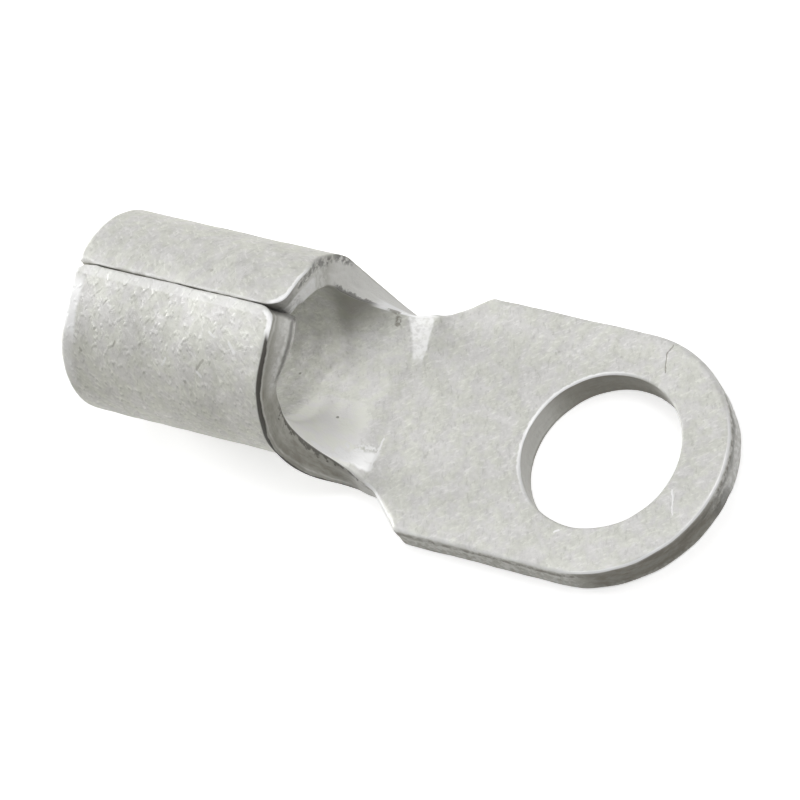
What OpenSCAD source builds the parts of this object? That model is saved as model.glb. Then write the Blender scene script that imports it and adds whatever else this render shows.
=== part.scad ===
// Ring terminal: one piece of tin-plated copper sheet, stamped, then rolled into a wire barrel.
// Millimetres. The stud hole's centre on the underside is the origin, X runs to the ring's tip,
// Z is up, and the barrel lies behind at negative X with its seam on top.

/* [Tongue] */
// width of the flat tongue across its straight sides, also the diameter of the ring's tip
tongue_w = 10.2; // [9.4:0.1:12]
// diameter of the stud hole
stud_d = 6.4; // [5.3:0.1:6.6]
// thickness of the sheet
sheet_t = 1.35; // [1:0.05:1.5]
// from the hole's centre back to the corners where the shoulders start
shoulder_x = 6.95; // [6.4:0.05:9]
// slope of a shoulder against the length of the terminal, degrees
shoulder_slope = 41; // [32:0.5:48]
// radius of a shoulder corner
corner_r = 0.5; // [0.3:0.05:1]

/* [Neck] */
// width of the neck, the narrowest place of the blank
neck_w = 7.35; // [6.6:0.05:8]
// radius between a shoulder and the neck
neck_r = 1.2; // [0.3:0.05:1.4]
// how far the bend line lies in front of the straight neck
bend_l = 0.25; // [0:0.05:0.4]
// straight length of the neck
neck_l = 0.5; // [0.1:0.05:1]
// radius in the flat blank between the neck and the front edge of the barrel
wing_r = 2.2; // [1.8:0.05:2.6]
// how the roundness grows from the bend line to the barrel, 1 is evenly
form_power = 1.2; // [0.8:0.05:1.4]

/* [Barrel] */
// outer diameter of the rolled barrel
barrel_d = 7.9; // [7.2:0.1:8.6]
// length of the barrel
barrel_l = 9.05; // [7:0.05:14]
// gap between the two butted edges on top of the barrel
seam_gap = 0.08; // [0.05:0.01:0.15]
// width of the groove that the two rounded edges leave over the gap, as deep as it is wide
groove_w = 0.28; // [0.2:0.02:0.5]
// radius of the blank's two corners where the seam meets the neck end
neck_corner_r = 0.75; // [0.4:0.05:1]
// radius of the blank's two corners where the seam meets the wire end
wire_corner_r = 0.5; // [0.4:0.05:1]
// rounding of the outer edge at the wire end
entry_r = 0.35; // [0.25:0.05:0.45]

/* [Edges] */
// rounding of the sheared edges
edge_r = 0.2; // [0.12:0.02:0.26]

/* [Hidden] */
// facets round a full circle
$fn = 72;
// straight steps round a small edge rounding
ROUND_STEPS = 3;
// straight steps round a corner of the blank
CORNER_STEPS = 4;
// steps across the formed sheet
SPAN_STEPS = 30;
// steps along a wing radius
WING_STEPS = 12;
// steps along a shoulder corner and along the radius behind it
SHOULDER_STEPS = 3;
FILLET_STEPS = 5;
// stations closer to the bend line than this merge with it
MERGE = 0.04;
// how far the formed neck reaches into the barrel wall
LAP = 0.45;
// how far that lapped end lies under the faces of the barrel wall
SKIN = 0.006;
// overshoot of a cutter past the faces it opens
OVER = 1;
// colour of the plating
TIN = [0.78, 0.78, 0.76];

tongue_half = tongue_w / 2;
neck_half = neck_w / 2;
half_t = sheet_t / 2;
barrel_r = barrel_d / 2;
bore_r = barrel_r - sheet_t;
mid_r = barrel_r - half_t;

// outline of the blank along X: shoulder corner, slope, neck fillet, straight neck, wing, barrel
corner_x = corner_r * tan(shoulder_slope / 2) - shoulder_x;
slope_l = (tongue_half - neck_half) / tan(shoulder_slope);
fillet_x = -shoulder_x - slope_l - neck_r * tan(shoulder_slope / 2);
bend_x = fillet_x + bend_l;
wing_x = fillet_x - neck_l;
wing_half = neck_half + wing_r;
mouth_x = wing_x - wing_r;
rear_x = mouth_x - barrel_l;

// points of an arc of radius r about [x, y], over a quarter turn from angle a0
function quarter(x, y, r, a0, steps) =
    [for (i = [0 : steps]) let (a = a0 + 90 * i / steps) [x + r * cos(a), y + r * sin(a)]];

// rounded edge of the sheet in cross-section, from the under face to the upper face, as
// [distance from the middle line of the blank, height over the middle surface]
function sheet_edge(half_w, t) = concat(
    quarter(half_w - edge_r, edge_r - t, edge_r, -90, ROUND_STEPS),
    quarter(half_w - edge_r, t - edge_r, edge_r, 0, ROUND_STEPS)
);

// closed outline of the sheet's cross-section: under face, edge, upper face, edge
function sheet_loop(half_w, t) = let (edge = sheet_edge(half_w, t), flat = half_w - edge_r) concat(
    [for (i = [1 : SPAN_STEPS - 1]) [flat * (2 * i / SPAN_STEPS - 1), -t]],
    edge,
    [for (i = [1 : SPAN_STEPS - 1]) [flat * (1 - 2 * i / SPAN_STEPS), t]],
    [for (i = [len(edge) - 1 : -1 : 0]) [-edge[i][0], edge[i][1]]]
);

// depth of an arc of radius r at a distance d from its crown
function sag(r, d) = r - sqrt(max(0, r * r - d * d));

// half width of the blank at x, from the shoulder corners back to the front of the barrel
function half_at(x) = let (
    corner_end = corner_x - corner_r * sin(shoulder_slope),
    fillet_end = fillet_x + neck_r * sin(shoulder_slope),
    fillet_half = neck_half + sag(neck_r, fillet_end - fillet_x)
) x > corner_end ? tongue_half - sag(corner_r, corner_x - x)
    : x > fillet_end ? fillet_half + (x - fillet_end) * tan(shoulder_slope)
    : x > fillet_x ? neck_half + sag(neck_r, x - fillet_x)
    : neck_half + sag(wing_r, max(0, wing_x - x));

// places along X where the blank's outline starts, turns or ends, with steps along its arcs
function outline_xs() = concat(
    [for (i = [0 : SHOULDER_STEPS]) corner_x - corner_r * sin(shoulder_slope * i / SHOULDER_STEPS)],
    [for (i = [0 : FILLET_STEPS]) fillet_x + neck_r * sin(shoulder_slope * (1 - i / FILLET_STEPS))],
    [for (i = [0 : WING_STEPS - 1]) wing_x - wing_r * sin(90 * i / WING_STEPS)]
);

// stations along the neck, each [x, half width of the blank, depth under the faces]; the bend line
// is one of them
function neck_stations() = concat(
    [for (x = outline_xs()) if (x > bend_x + MERGE) [x, half_at(x), 0]],
    [[bend_x, half_at(bend_x), 0]],
    [for (x = outline_xs()) if (x < bend_x - MERGE) [x, half_at(x), 0]],
    [[mouth_x, wing_half, SKIN], [mouth_x - LAP, wing_half, SKIN]]
);

// roundness of the formed sheet at x: 0 in front of the bend line, that of the barrel at its mouth
function roundness(x) = pow(max(0, min(1, (bend_x - x) / (bend_x - mouth_x))), form_power) / mid_r;

// place in space of a point p of the sheet's cross-section at x, rolled up to a given roundness
function formed(x, p, round) = round == 0 ? [x, p[0], half_t + p[1]] : let (
    mid = 1 / round,
    turn = p[0] * round * 180 / PI
) [x, (mid - p[1]) * sin(turn), half_t + mid - (mid - p[1]) * cos(turn)];

// the formed neck: flat under the shoulders, growing into a trough that meets the barrel
module formed_neck() {
    rings = [for (s = neck_stations())
        [for (p = sheet_loop(s[1], half_t - s[2])) formed(s[0], p, roundness(s[0]))]];
    n = len(rings[0]);
    skin = [for (i = [0 : len(rings) - 2]) for (j = [0 : n - 1]) let (
        here = i * n + j,
        beside = i * n + (j + 1) % n
    ) each [[here, beside, here + n], [beside, beside + n, here + n]]];
    // each end is closed by strips that join every point of its ring to the one opposite over the
    // thickness, from the middle of one edge to the middle of the other
    middle = SPAN_STEPS - 1 + ROUND_STEPS;
    last = (len(rings) - 1) * n;
    function across(j) = (2 * middle + 1 - j + n) % n;
    ends = [for (k = [1 : n / 2 - 1]) let (
        j = (middle - k + n) % n,
        j2 = (j + 1) % n
    ) each [
        [j, across(j), j2],
        [j2, across(j), across(j2)],
        [last + j, last + j2, last + across(j)],
        [last + j2, last + across(j2), last + across(j)]
    ]];
    polyhedron([for (r = rings) each r], concat(skin, ends), convexity = 6);
}

// the stud hole, its top edge drawn in by the punch
module stud_hole() {
    r = stud_d / 2;
    rotate_extrude() polygon(concat(
        [[0, sheet_t + OVER], [r + edge_r, sheet_t + OVER]],
        quarter(r + edge_r, sheet_t - edge_r, edge_r, 90, ROUND_STEPS),
        [[r, -OVER], [0, -OVER]]
    ));
}

// the flat tongue with its round tip, rounded edges and stud hole
module tongue() {
    edge = sheet_edge(tongue_half, half_t);
    difference() {
        union() {
            translate([0, 0, half_t]) rotate([0, 0, -90])
                rotate_extrude(angle = 180) polygon(concat([[0, -half_t]], edge, [[0, half_t]]));
            translate([corner_x, 0, half_t]) rotate([90, 0, 90])
                linear_extrude(height = -corner_x) polygon(concat(edge, -edge));
        }
        stud_hole();
    }
}

// wall of the barrel as radius against length, with its four rounded edges
function barrel_section() = concat(
    quarter(bore_r + edge_r, edge_r, edge_r, 180, ROUND_STEPS),
    quarter(barrel_r - entry_r, entry_r, entry_r, -90, ROUND_STEPS),
    quarter(barrel_r - edge_r, barrel_l - edge_r, edge_r, 0, ROUND_STEPS),
    quarter(bore_r + edge_r, barrel_l - edge_r, edge_r, 90, ROUND_STEPS)
);

// opening over the seam that leaves the blank's two corners at one end with radius r
module corner_opening(r) {
    beside = seam_gap / 2 + r;
    linear_extrude(height = barrel_r + OVER) polygon(concat(
        [[-OVER, -beside], [-OVER, beside]],
        quarter(r, beside, r, 180, CORNER_STEPS),
        quarter(r, -beside, r, 90, CORNER_STEPS)
    ));
}

// the open butted seam along the top of the barrel: gap, groove and rounded corners
module seam() {
    groove_z = barrel_d - groove_w;
    translate([rear_x - OVER, -seam_gap / 2, barrel_r])
        cube([barrel_l + 2 * OVER, seam_gap, barrel_r + OVER]);
    translate([rear_x - OVER, 0, groove_z]) rotate([90, 0, 90])
        linear_extrude(height = barrel_l + 2 * OVER) polygon([[0, 0], [OVER, 2 * OVER], [-OVER, 2 * OVER]]);
    translate([rear_x, 0, barrel_r]) corner_opening(wire_corner_r);
    translate([mouth_x, 0, barrel_r]) mirror([1, 0, 0]) corner_opening(neck_corner_r);
}

// the barrel, rolled until its two edges butt
module barrel() {
    difference() {
        translate([rear_x, 0, barrel_r]) rotate([90, 0, 90]) rotate_extrude() polygon(barrel_section());
        seam();
    }
}

module ring_terminal() {
    color(TIN) union() {
        tongue();
        formed_neck();
        barrel();
    }
}

ring_terminal();
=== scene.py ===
"""Ring terminal for a cable: the looks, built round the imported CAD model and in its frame.

The terminal is one stamped and rolled piece of sheet, so the scene has one piece. Its surface is
worked out on the flat blank, where a point is given by x along the terminal, s across the sheet
and n through its thickness, and is then rolled up in the way that the real blank is.
"""

import math

import bpy
import numpy as np
from mathutils import Matrix, Vector


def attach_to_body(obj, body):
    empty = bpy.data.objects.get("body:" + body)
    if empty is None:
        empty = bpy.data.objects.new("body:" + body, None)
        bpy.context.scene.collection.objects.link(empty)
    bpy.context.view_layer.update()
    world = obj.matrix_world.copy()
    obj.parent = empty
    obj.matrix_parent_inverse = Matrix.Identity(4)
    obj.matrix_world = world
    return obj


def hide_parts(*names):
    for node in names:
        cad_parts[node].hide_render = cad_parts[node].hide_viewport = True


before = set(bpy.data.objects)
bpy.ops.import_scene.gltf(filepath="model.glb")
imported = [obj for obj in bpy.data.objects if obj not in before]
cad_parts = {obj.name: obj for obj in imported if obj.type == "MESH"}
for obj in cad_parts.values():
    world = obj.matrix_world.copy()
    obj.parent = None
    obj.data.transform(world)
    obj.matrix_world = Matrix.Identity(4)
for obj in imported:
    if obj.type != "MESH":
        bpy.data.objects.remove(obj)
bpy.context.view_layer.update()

bl_info = {
    "name": "Ring terminal",
    "version": (1, 0, 0),
    "blender": (4, 5, 0),
    "location": "View3D > Sidebar > Terminal",
    "description": "A tin-plated ring terminal on a plain studio floor",
    "category": "Add Mesh",
}

MM = 0.001
QUARTER = math.pi / 2
# steps round a rounding of the sheared edge, and down its wall
ROUND_STEPS, WALL_STEPS = 6, 18
# depth of the plating's relief between its lowest and its highest place
RELIEF = 0.014 * MM
# light that the floor adds to its own colour where it is seen directly
FLOOR_LIFT = 0.6


def length(label, about, millimetres):
    """A length in metres that a user may change, written here in millimetres."""
    return bpy.props.FloatProperty(
        name=label, description=about, default=millimetres * MM, min=0.0, unit="LENGTH", precision=5
    )


def share(label, about, value, top=1.0):
    """A plain number from 0 to top."""
    return bpy.props.FloatProperty(
        name=label, description=about, default=value, min=0.0, max=top, subtype="FACTOR"
    )


def colour(label, about, value):
    """A linear colour."""
    return bpy.props.FloatVectorProperty(
        name=label, description=about, default=value, size=3, min=0.0, max=1.0, subtype="COLOR"
    )


def angle(label, about, degrees):
    """An angle, written here in degrees."""
    return bpy.props.FloatProperty(
        name=label, description=about, default=math.radians(degrees), subtype="ANGLE", unit="ROTATION"
    )


class TerminalSizes(bpy.types.PropertyGroup):
    """Sizes of the blank and of the rolled barrel, the same as in the CAD source."""

    tongue_w: length("Tongue width", "Across the flat tongue, also the ring's diameter", 10.2)
    stud_d: length("Stud hole", "Diameter of the stud hole", 6.4)
    sheet_t: length("Sheet", "Thickness of the sheet", 1.35)
    shoulder_x: length("Shoulder", "From the hole's centre back to the shoulder corners", 6.95)
    shoulder_slope: angle("Shoulder slope", "Slope of a shoulder against the length", 41.0)
    corner_r: length("Shoulder corner", "Radius of a shoulder corner", 0.5)
    neck_w: length("Neck width", "Width of the blank at its narrowest place", 7.35)
    neck_r: length("Neck fillet", "Radius between a shoulder and the neck", 1.2)
    bend_l: length("Bend line", "How far it lies in front of the straight neck", 0.25)
    neck_l: length("Neck length", "Straight length of the neck", 0.5)
    wing_r: length("Wing radius", "Radius in the blank between neck and barrel", 2.2)
    form_power: share("Forming", "How the roundness grows from the bend line", 1.2, 2.0)
    barrel_d: length("Barrel", "Outer diameter of the rolled barrel", 7.9)
    barrel_l: length("Barrel length", "Length of the barrel", 9.05)
    seam_gap: length("Seam gap", "Gap between the two butted edges", 0.010)
    neck_corner_r: length("Seam corner", "Corner radius of the blank at the neck end", 0.75)
    wire_corner_r: length("Wire end corner", "Corner radius of the blank at the wire end", 0.5)
    entry_r: length("Wire end rounding", "Rounding of the outer edge at the wire end", 0.35)
    rim_r: length("Edge rounding", "Rounding of the sheared edges", 0.19)


class TinFinish(bpy.types.PropertyGroup):
    """Colours of the plating and of the sheared edges."""

    light_tin: colour("Light tin", "Bright grains of the plating", (0.95, 0.95, 0.925))
    dark_tin: colour("Dark tin", "Dull grains of the plating", (0.42, 0.42, 0.39))
    # worn rims, and also the colour of the painted highlights on rims, behind the bend line and on the
    # barrel
    worn: colour("Worn tin", "Burnished places and worn rims", (0.97, 0.97, 0.965))
    sheared: colour("Sheared wall", "Sheared walls of the sheet", (0.34, 0.33, 0.28))
    smeared: colour("Smeared tin", "Plating smeared over the sheared walls", (0.60, 0.595, 0.55))
    # painted light on walls that face the lamps or the front, and a paler tone on some other walls
    pale_and_lit_wall: colour("Pale edge", "Walls that the tin covers well", (0.86, 0.855, 0.83))
    # painted shade in the trough under the far wing and in the barrel's mouth
    trough_shade: colour("Dulled tin", "Dark plating deep in the trough", (0.25, 0.245, 0.21))
    # bare metal and pits, and also painted shade on walls turned from the lamps and under the upper rims
    brown_and_shade: colour("Brown", "Bare metal gone dull on the walls, pits", (0.22, 0.205, 0.17))
    # torn lines and a scratch, and also painted shade on the near lip's edges and in the notch at the
    # seam
    stain_and_shade: colour("Stain", "Lines pinched into the edges", (0.07, 0.065, 0.055))
    roughness: share("Roughness", "Roughness of the matt plating", 0.52)


class StudioSetting(bpy.types.PropertyGroup):
    """Camera, floor and light."""

    aim_x: bpy.props.FloatProperty(
        name="Aim along", description="Aim point along the terminal", default=-9.749 * MM, unit="LENGTH"
    )
    aim_y: bpy.props.FloatProperty(
        name="Aim across", description="Aim point across it", default=0.590 * MM, unit="LENGTH"
    )
    distance: length("Distance", "From the aim point to the camera", 192.722)
    azimuth: angle("Azimuth", "Direction of the camera round the terminal, from +X", -31.934)
    elevation: angle("Elevation", "Height of the camera over the floor", 53.793)
    roll: angle("Roll", "Turn of the camera about its line of sight", 38.671)
    lens: bpy.props.FloatProperty(
        name="Lens", description="Focal length", default=225.0, min=1.0, unit="CAMERA"
    )
    floor: colour("Floor", "Colour of the floor", (0.80, 0.80, 0.80))
    sky: share("Sky", "Strength of the even light from all round", 0.06, 4.0)


class Blank:
    """The flat blank: places and lengths that follow from the sizes, in metres."""

    INSET = 0.45 * MM

    def __init__(self, sizes):
        self.sizes = sizes
        self.half_t = sizes.sheet_t / 2
        self.tongue_half = sizes.tongue_w / 2
        self.neck_half = sizes.neck_w / 2
        self.mid_r = sizes.barrel_d / 2 - self.half_t
        slope = sizes.shoulder_slope
        self.corner_x = sizes.corner_r * math.tan(slope / 2) - sizes.shoulder_x
        slope_l = (self.tongue_half - self.neck_half) / math.tan(slope)
        self.fillet_x = -sizes.shoulder_x - slope_l - sizes.neck_r * math.tan(slope / 2)
        self.bend_x = self.fillet_x + sizes.bend_l
        self.wing_x = self.fillet_x - sizes.neck_l
        self.wing_half = self.neck_half + sizes.wing_r
        self.mouth_x = self.wing_x - sizes.wing_r
        self.rear_x = self.mouth_x - sizes.barrel_l
        self.seam_s = math.pi * self.mid_r - sizes.seam_gap / 2

    def roundness(self, x, s):
        """Roundness of the sheet at x: 0 in front of the bend line, growing as a power of the
        share of the way to the barrel's mouth, and levelling off round the mouth. The bend line
        runs back a little towards the near edge."""
        early, late = 0.93, 1.07
        power = self.sizes.form_power
        skew = 0.14 * MM * step(-s, 1.8 * MM, 3.6 * MM)
        bend_x = self.bend_x - skew
        way = (bend_x - x) / (bend_x - self.mouth_x)
        growth = np.clip(way, 0.0, early) ** power
        past = np.clip(way - early, 0.0, late - early)
        rate = power * early ** (power - 1)
        growth += rate * (past - past**2 / (2 * (late - early)))
        full = early**power + rate * (late - early) / 2
        return growth / full / self.mid_r

    def rolled(self, points):
        """Rolls points [x, s, n] of the blank up: the sheet's middle surface becomes an arc that
        touches the floor's parallel at s = 0, of a radius of 1 / roundness, and n stays square to
        it. Written with sin(t) / t, so that the flat tongue needs no case of its own."""
        x, s, n = points.T
        turn = s * self.roundness(x, s)
        y = s * np.sinc(turn / math.pi) - n * np.sin(turn)
        z = self.half_t + s * turn / 2 * np.sinc(turn / 2 / math.pi) ** 2 + n * np.cos(turn)
        return np.stack([x, y, z], 1)


def line(start, end, steps):
    """Stations [x, s, outward x, outward s] evenly along a straight edge; outward is the edge's
    direction turned a quarter clockwise."""
    start, end = np.array(start), np.array(end)
    along = (end - start) / np.linalg.norm(end - start)
    part = np.linspace(0, 1, steps + 1)[:, None]
    outward = np.broadcast_to([along[1], -along[0]], (steps + 1, 2))
    return np.hstack([(1 - part) * start + part * end, outward])


def arc(centre, radius, angles, bulge=1):
    """Stations on an arc: centre plus radius times the direction of each angle. Outward is that
    direction, or its opposite where the edge is hollow (bulge = -1)."""
    ways = np.stack([np.cos(angles), np.sin(angles)], 1)
    return np.hstack([np.array(centre) + radius * ways, bulge * ways])


def evenly(first, last, steps):
    """Angles in quarter turns, as radians."""
    return np.linspace(first, last, steps + 1) * QUARTER


def swell(points, seed, shortest, longest, count=14):
    """A smooth random field of about -1 to 1 over x and s: a sum of sines with random directions
    and wavelengths, seeded."""
    draw = np.random.default_rng(seed)
    waves = 2 * math.pi / np.exp(draw.uniform(math.log(shortest), math.log(longest), count))
    heading, phase = draw.uniform(0, 2 * math.pi, (2, count))
    angles = np.outer(points[..., 0].ravel(), waves * np.cos(heading))
    angles += np.outer(points[..., 1].ravel(), waves * np.sin(heading))
    total = np.sin(angles + phase).sum(1) / math.sqrt(count)
    return total.reshape(points.shape[:-1])


def step(value, low, high):
    """0 below low, 1 above high, and smooth between."""
    part = np.clip((value - low) / (high - low), 0.0, 1.0)
    return part * part * (3 - 2 * part)


class HalfBlank:
    """Stations round one half of the blank, from the ring's tip to the middle of the wire end."""

    TIP, SIDE, CORNER, SLOPE, FILLET, BEND, NECK, WING = 64, 52, 5, 10, 12, 5, 8, 30
    ACROSS, FRONT, LIP, TOE, BARREL, RING = 50, 30, 9, 6, 70, 16

    def __init__(self, blank):
        self.blank = blank
        self.tongue, self.neck = self.tongue_stations(), self.neck_stations()
        self.front, seam, self.rear = self.barrel_stations()
        self.loop = np.concatenate([self.tongue, self.neck, self.front, seam, self.rear[::-1]])

    def tongue_stations(self):
        """Round the ring's tip and back along the tongue's side to the shoulder corner."""
        b = self.blank
        tip = arc((0, 0), b.tongue_half, evenly(0, 1, self.TIP))
        side = line((0, b.tongue_half), (b.corner_x, b.tongue_half), self.SIDE)
        return np.concatenate([tip, side[1:]])

    def neck_stations(self):
        """The shoulder corner and its slope, the fillet with the bend line on it, the straight
        neck and the wing."""
        b, z = self.blank, self.blank.sizes
        slope = z.shoulder_slope / QUARTER
        corner_centre = (b.corner_x, b.tongue_half - z.corner_r)
        corner = arc(corner_centre, z.corner_r, evenly(1, 1 + slope, self.CORNER))
        bend = -math.acos(z.bend_l / z.neck_r) / QUARTER
        turns = np.concatenate([evenly(slope - 1, bend, self.FILLET), evenly(bend, -1, self.BEND)[1:]])
        fillet = arc((b.fillet_x, b.neck_half + z.neck_r), z.neck_r, turns, -1)
        wing = arc((b.wing_x, b.neck_half + z.wing_r), z.wing_r, evenly(-1, -2, self.WING), -1)
        return np.concatenate([
            corner[1:],
            line(corner[-1, :2], fillet[0, :2], self.SLOPE)[1:-1],
            fillet,
            line(fillet[-1, :2], wing[0, :2], self.NECK)[1:-1],
            wing,
        ])

    def wire_end(self, s):
        """Stations on the straight wire end, at the distances s from its middle."""
        flat = np.ones_like(s)
        return np.stack([self.blank.rear_x * flat, s, -flat, 0 * flat], 1)

    def barrel_stations(self):
        """The barrel's front out to its lip at the seam, the seam, and the wire end from its
        middle out. The two ends share the columns of points over their corners at the seam."""
        b, z = self.blank, self.blank.sizes
        lip_r, toe_r = z.neck_corner_r, z.wire_corner_r
        lip_in, toe_in = lip_r - b.INSET, toe_r - b.INSET
        lip_s, toe_s = b.seam_s - lip_r, b.seam_s - toe_r
        columns = np.sort(np.concatenate([
            lip_s + lip_in * np.sin(evenly(0, 1, self.LIP)[1:-1]),
            toe_s + toe_in * np.sin(evenly(0, 1, self.TOE)[:-1]),
        ]))
        columns = np.append(columns, b.seam_s - b.INSET)
        lip = np.arcsin(np.clip((columns - lip_s) / lip_in, 0, 1))
        toe = math.pi - np.arcsin(np.clip((columns - toe_s) / toe_in, 0, 1))
        toe_arc = arc((b.rear_x + toe_r, toe_s), toe_r, toe)
        toe_end = np.where((columns >= toe_s)[:, None], toe_arc, self.wire_end(columns))
        front = line((b.mouth_x, b.wing_half), (b.mouth_x, lip_s), self.FRONT)[1:]
        seam = line((b.mouth_x - lip_r, b.seam_s), (b.rear_x + toe_r, b.seam_s), self.BARREL)[1:-1]
        inner = np.linspace(0, b.wing_half, self.ACROSS + 1)
        rear = self.wire_end(np.concatenate([inner, front[:, 1]]))
        lip_arc = arc((b.mouth_x - lip_r, lip_s), lip_r, lip)
        return np.concatenate([front, lip_arc]), seam, np.concatenate([rear, toe_end])

    def inset(self, stations):
        """Points [x, s] at the inset distance inside the edge."""
        return stations[:, :2] - self.blank.INSET * stations[:, 2:]

    def faces(self):
        """Grids of points [x, s] over the half face inside the inset line: the ring and tongue
        run from the hole's circle out to the edge, the neck from its middle line out, and the
        barrel from its front to its rear."""
        across = np.linspace(1, 0, self.ACROSS + 1)[:, None]
        tongue, neck = self.inset(self.tongue), self.inset(self.neck)
        closing = tongue[-1] * np.hstack([np.ones_like(across), across])
        outer = np.concatenate([tongue[:-1], closing])
        inner = self.hole_inset(outer)
        out = np.linspace(0, 1, self.RING + 1)[:, None, None]
        ring = (1 - out) * inner + out * outer
        lines = np.concatenate([tongue[-1:], neck])
        trough = lines[:, None] * np.stack([np.ones_like(across), across], 1).reshape(1, -1, 2)
        first = np.concatenate([trough[-1, ::-1], self.inset(self.front)])
        last = self.inset(self.rear)
        back = np.linspace(0, 1, self.BARREL + 1)[:, None, None]
        barrel = (1 - back) * first + back * last
        return ring, trough, barrel, outer

    def hole_stations(self, outer):
        """Stations on the stud hole, one for each point of the ring's outer line and in the same
        direction from the centre. Outward from the sheet is towards the centre."""
        angles = np.arctan2(outer[:, 1], outer[:, 0])
        return arc((0, 0), self.blank.sizes.stud_d / 2, angles, -1)

    def hole_inset(self, outer):
        """The circle at the inset distance outside the stud hole."""
        return self.inset(self.hole_stations(outer))


def profile(blank, stations, top_r, low_r, wall, lean):
    """Carries the sheared edge's profile along stations. The profile runs from the upper face
    over a rounding, down the wall, round the lower rounding and back under the sheet. wall(n)
    gives how far the wall stands out at the height n, and lean(n) how far the whole edge is drawn
    out there, faces included. Gives points [x, s, n] and, for each, how much it belongs to the
    wall, how much to a rim, and how near the edge it is."""
    rounds = evenly(0, 1, ROUND_STEPS)
    top_r, low_r = top_r[:, None], low_r[:, None]
    half_t, inset = blank.half_t, blank.INSET
    lead = np.array([[0.0, 0.5]])
    sine, cosine = np.sin(rounds)[None], np.cos(rounds)[None]
    down = np.linspace(0, 1, WALL_STEPS + 1)[None, 1:-1]
    top_flat = -inset + (inset - top_r) * lead
    low_flat = -inset + (inset - low_r) * lead[:, ::-1]
    top_wall, low_wall = half_t - top_r, low_r - half_t
    out = np.hstack([
        top_flat, -top_r + top_r * sine, 0 * top_r + 0 * down, (-low_r + low_r * sine)[:, ::-1], low_flat
    ])
    height = np.hstack([
        0 * top_flat + half_t, top_wall + top_r * cosine, (1 - down) * top_wall + down * low_wall,
        (low_wall - low_r * cosine)[:, ::-1], 0 * low_flat - half_t
    ])
    into_wall, over_rim = step(rounds, 0.5, 1.5), np.sin(2 * rounds)
    between = np.ones(WALL_STEPS - 1)
    on_wall = np.concatenate([[0, 0], into_wall, between, into_wall[::-1], [0, 0]])
    on_rim = np.concatenate([[0, 0], over_rim, 0 * between, over_rim[::-1], [0, 0]])
    brink = 1 + out / inset
    out = out + wall(height) * on_wall + lean(height) * brink
    place = stations[:, None, :2] + out[..., None] * stations[:, None, 2:]
    points = np.concatenate([place, height[..., None]], 2)
    marks = np.stack([np.broadcast_to(mark, brink.shape) for mark in (on_wall, on_rim, brink)], -1)
    return points, marks


def grid_quads(rows, columns, start, flip):
    """Faces between neighbouring rows and columns of a grid of points, numbered from start."""
    at = start + np.arange(rows * columns).reshape(rows, columns)
    quads = np.stack([at[:-1, :-1], at[1:, :-1], at[1:, 1:], at[:-1, 1:]], -1).reshape(-1, 4)
    return quads[:, ::-1] if flip else quads


class SheetMesh:
    """Collects grids of blank points and joins them into one closed mesh."""

    def __init__(self):
        self.points, self.marks, self.quads, self.count = [], [], [], 0

    def add(self, points, marks, flip):
        """Adds one grid of points with their marks; flip turns its faces round."""
        rows, columns = points.shape[:2]
        self.quads.append(grid_quads(rows, columns, self.count, flip))
        self.points.append(points.reshape(-1, 3))
        self.marks.append(marks.reshape(-1, 3))
        self.count += rows * columns

    def joined(self):
        """Points that lie in the same place of the blank become one. They are equal to the last
        bit where grids meet, so rounding to a nanometre finds them."""
        points, marks = np.concatenate(self.points), np.concatenate(self.marks)
        whole = np.round(points / 1e-9).astype(np.int64)
        _, first, merged = np.unique(whole, axis=0, return_index=True, return_inverse=True)
        return points[first], marks[first], merged.ravel()[np.concatenate(self.quads)]


def terminal_surface(blank):
    """The whole skin of the terminal on its blank: both faces and the two sheared edges, outside
    and in the stud hole, for each half."""
    half, skin, z = HalfBlank(blank), SheetMesh(), blank.sizes
    ring, trough, barrel, outer = half.faces()
    half_t = blank.half_t
    for side in (1, -1):
        mirror = np.array([1.0, side, 1.0])
        for face in (1, -1):
            for grid, turned in ((ring, False), (trough, False), (barrel, True)):
                level = np.full(grid.shape[:2] + (1,), face * half_t)
                points = np.concatenate([grid, level], 2) * mirror
                skin.add(points, np.zeros_like(points), (face * side < 0) != turned)

        rim = half.hole_stations(outer)
        for stations, made, in_hole in ((half.loop, outer_edge, False), (rim, hole_edge, True)):
            points, marks = profile(blank, stations, *made(blank, stations, side))
            skin.add(points * mirror, marks, (side > 0) != in_hole)
    return skin.joined()


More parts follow.
